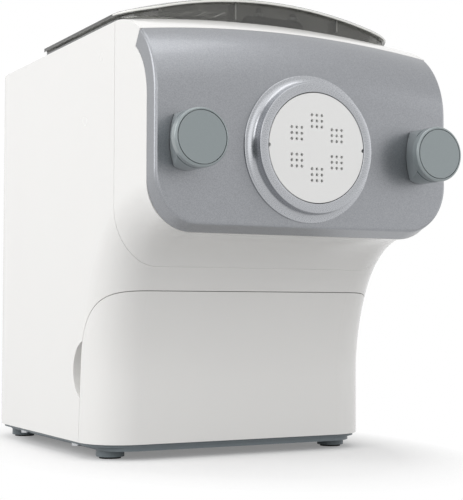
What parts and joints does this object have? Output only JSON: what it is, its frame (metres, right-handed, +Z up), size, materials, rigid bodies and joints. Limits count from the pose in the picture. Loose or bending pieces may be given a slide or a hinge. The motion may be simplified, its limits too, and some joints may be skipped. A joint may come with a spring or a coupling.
{
  "type": "electric pasta maker",
  "caption": "Upright electric pasta maker with a smoky lid, a silver front panel held by two knobs, a round shaping disc and a storage drawer.",
  "frame": {"origin": "on the surface it stands on, in the middle of the overall box", "axes": "+Z up, -Y out of the front where the pasta comes out, +X to the right seen from the front"},
  "size_m": [0.215, 0.343, 0.3093],
  "materials": {
    "white_shell": "smooth, slightly glossy",
    "silver_panel": "satin metallic silver",
    "silver_knob": "satin metallic grey",
    "white_disc": "matt",
    "smoky_lid": "clear smoky, glossy",
    "clear_chamber": "clear grey, glossy",
    "base_grey": "matt",
    "foot_rubber": "matt",
    "seal_rubber": "soft, matt",
    "steel": "bright, turned",
    "brass": "turned",
    "gear_plastic": "moulded",
    "inner_plastic": "moulded",
    "motor_steel": "plain",
    "rotor_iron": "wound core",
    "board_green": "printed board",
    "control_dark": "glossy",
    "button_grey": "matt",
    "window_black": "glossy"
  },
  "bodies": {
    "base": {"main_housing": "white_shell", "front_frame": "white_shell", "rear_cover": "white_shell", "mixing_chamber": "clear_chamber", "base_plate": "base_grey", "feet": "base_grey", "foot_pads": "foot_rubber", "tube_seal": "seal_rubber", "shaft_seal": "seal_rubber", "knob_stud_left": "steel", "knob_stud_right": "steel", "hinge_pins": "steel", "idler_shaft": "steel", "foot_screws": "steel", "base_screws": "steel", "cover_screws": "steel", "gearbox_screws": "steel", "front_bush": "brass", "rear_bush": "brass", "extrusion_tube": "gear_plastic", "chassis": "inner_plastic", "gear_case": "inner_plastic", "gear_cover": "inner_plastic", "lid_switch": "inner_plastic", "cord_gland": "inner_plastic", "motor_can": "motor_steel", "motor_bracket": "motor_steel", "power_board": "board_green", "control_board": "board_green", "control_bezel": "control_dark", "display_window": "window_black"},
    "drawer": {"drawer_front": "white_shell", "drawer_tray": "inner_plastic"},
    "lid": {"lid_shell": "smoky_lid", "lid_grip": "smoky_lid"},
    "disc": {"shaping_disc": "white_disc"},
    "panel": {"front_panel": "silver_panel", "die_ring": "silver_panel"},
    "washer_left": {"knob_washer_left": "steel"},
    "washer_right": {"knob_washer_right": "steel"},
    "left_knob": {"knob_left": "silver_knob", "knob_cap_left": "silver_knob", "knob_insert_left": "brass"},
    "right_knob": {"knob_right": "silver_knob", "knob_cap_right": "silver_knob", "knob_insert_right": "brass"},
    "drive": {"output_gear": "gear_plastic", "drive_shaft": "steel", "stirring_paddle": "gear_plastic", "auger": "gear_plastic"},
    "idler": {"idler_gear": "gear_plastic"},
    "motor_rotor": {"rotor": "rotor_iron", "motor_pinion": "gear_plastic", "cooling_fan": "inner_plastic"},
    "power": {"power_button": "button_grey"},
    "portion": {"portion_button": "button_grey"},
    "extrude": {"extrude_button": "button_grey"},
    "start": {"start_button": "button_grey"}
  },
  "joints": [
    {"name": "drawer_slide", "type": "slide", "parent": "base", "child": "drawer", "axis": [0, -1, 0], "range_m": [0, 0.09]},
    {"name": "lid_hinge", "type": "hinge", "parent": "base", "child": "lid", "pos_m": [0, 0.0634, 0.2928], "axis": [-1, 0, 0], "range_deg": [0, 100]},
    {"name": "disc_pull", "type": "slide", "parent": "base", "child": "disc", "axis": [0, -1, 0], "range_m": [0, 0.012]},
    {"name": "panel_pull", "type": "slide", "parent": "disc", "child": "panel", "axis": [0, -1, 0], "range_m": [0, 0.04]},
    {"name": "washer_left_slide", "type": "slide", "parent": "panel", "child": "washer_left", "axis": [0, -1, 0], "range_m": [0, 0.0141]},
    {"name": "knob_left_turn", "type": "hinge", "parent": "washer_left", "child": "left_knob", "pos_m": [-0.0866, -0.16, 0.2014], "axis": [0, -1, 0], "range_deg": [0, 1260]},
    {"name": "washer_right_slide", "type": "slide", "parent": "panel", "child": "washer_right", "axis": [0, -1, 0], "range_m": [0, 0.0141]},
    {"name": "knob_right_turn", "type": "hinge", "parent": "washer_right", "child": "right_knob", "pos_m": [0.0866, -0.16, 0.2014], "axis": [0, -1, 0], "range_deg": [0, 1260]},
    {"name": "drive_turn", "type": "hinge", "parent": "base", "child": "drive", "pos_m": [0, 0.06, 0.2014], "axis": [0, 1, 0], "continuous": true},
    {"name": "idler_turn", "type": "hinge", "parent": "base", "child": "idler", "pos_m": [0, 0.06, 0.1264], "axis": [0, 1, 0], "continuous": true},
    {"name": "rotor_turn", "type": "hinge", "parent": "base", "child": "motor_rotor", "pos_m": [0, 0.06, 0.0724], "axis": [0, 1, 0], "continuous": true},
    {"name": "power_press", "type": "slide", "parent": "base", "child": "power", "axis": [-1, 0, 0], "range_m": [0, 0.0012], "stiffness_N_per_m": 400},
    {"name": "portion_press", "type": "slide", "parent": "base", "child": "portion", "axis": [-1, 0, 0], "range_m": [0, 0.0012], "stiffness_N_per_m": 400},
    {"name": "extrude_press", "type": "slide", "parent": "base", "child": "extrude", "axis": [-1, 0, 0], "range_m": [0, 0.0012], "stiffness_N_per_m": 400},
    {"name": "start_press", "type": "slide", "parent": "base", "child": "start", "axis": [-1, 0, 0], "range_m": [0, 0.0012], "stiffness_N_per_m": 400}
  ],
  "couplings": [
    {"joint": "washer_left_slide", "follows": "knob_left_turn", "m_per_rad": 0.00063662},
    {"joint": "washer_right_slide", "follows": "knob_right_turn", "m_per_rad": 0.00063662},
    {"joint": "idler_turn", "follows": "drive_turn", "ratio": -4},
    {"joint": "rotor_turn", "follows": "drive_turn", "ratio": 14}
  ]
}
